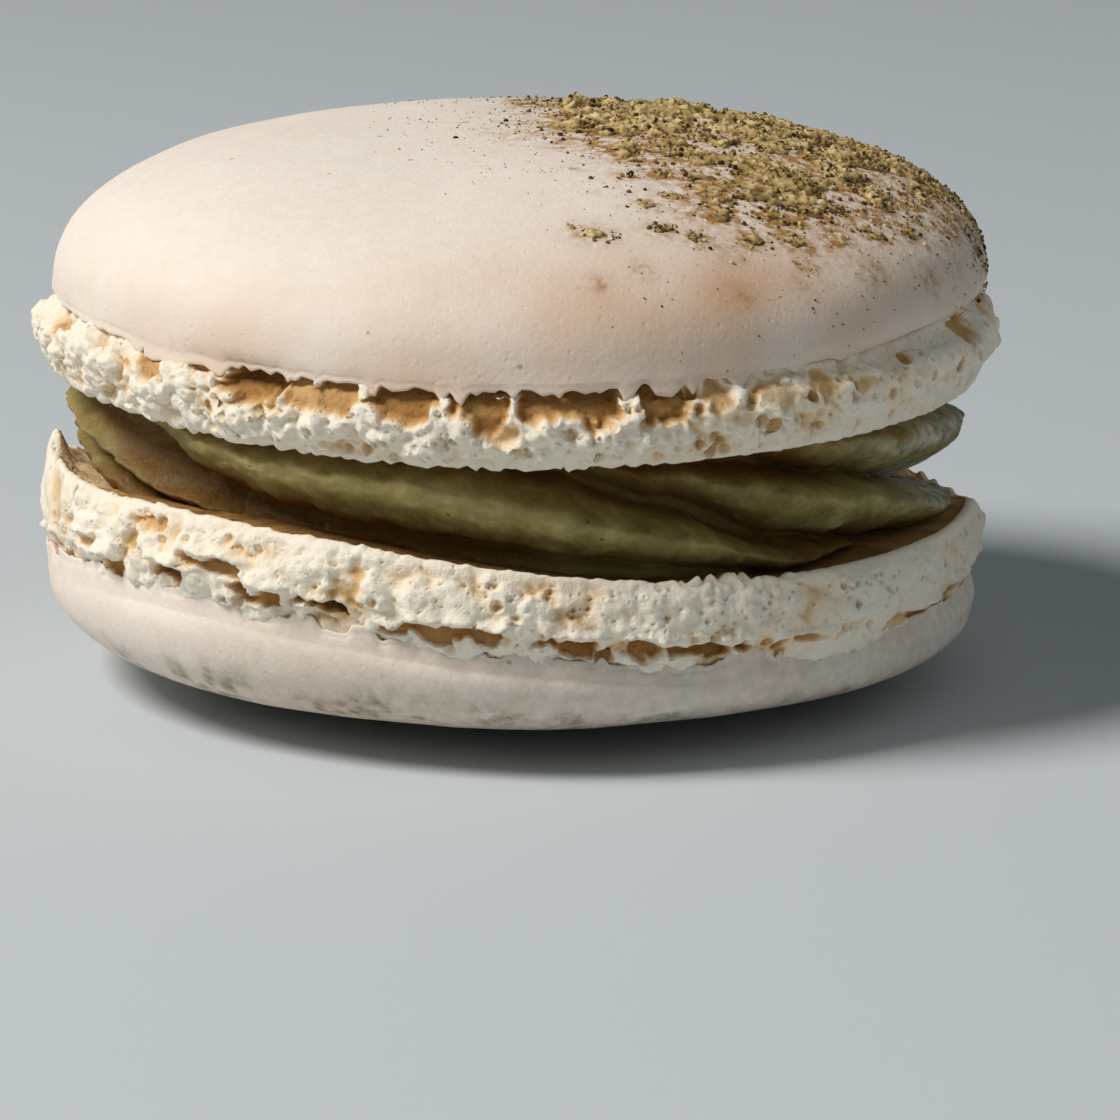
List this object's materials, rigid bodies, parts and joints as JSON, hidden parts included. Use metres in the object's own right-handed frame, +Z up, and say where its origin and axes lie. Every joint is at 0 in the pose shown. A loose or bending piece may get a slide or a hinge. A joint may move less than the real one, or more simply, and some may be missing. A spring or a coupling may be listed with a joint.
{
  "type": "french macaron",
  "caption": "French macaron: two smooth domed almond shells with a frilly foot round a ridged green cream filling, dusted with a brown-green powder.",
  "frame": {"origin": "middle of the bottom of the outer box, on the surface that the macaron stands on", "axes": "+Z up through the stack of shell, cream and shell; -Y towards the front; +X to the right of the front"},
  "size_m": [0.0448, 0.0452, 0.0254],
  "materials": {
    "shell": "matte baked almond meringue, off-white with a faint pink tan, smooth skin over a porous crumbly foot that is amber in its hollows",
    "cream": "satin piped olive-green nut cream with fine dark specks",
    "powder": "dry matte brown-green powder in clumps, grains and smears"
  },
  "bodies": {
    "root": {"upper_shell": "shell", "filling": "cream", "lower_shell": "shell"}
  },
  "joints": []
}
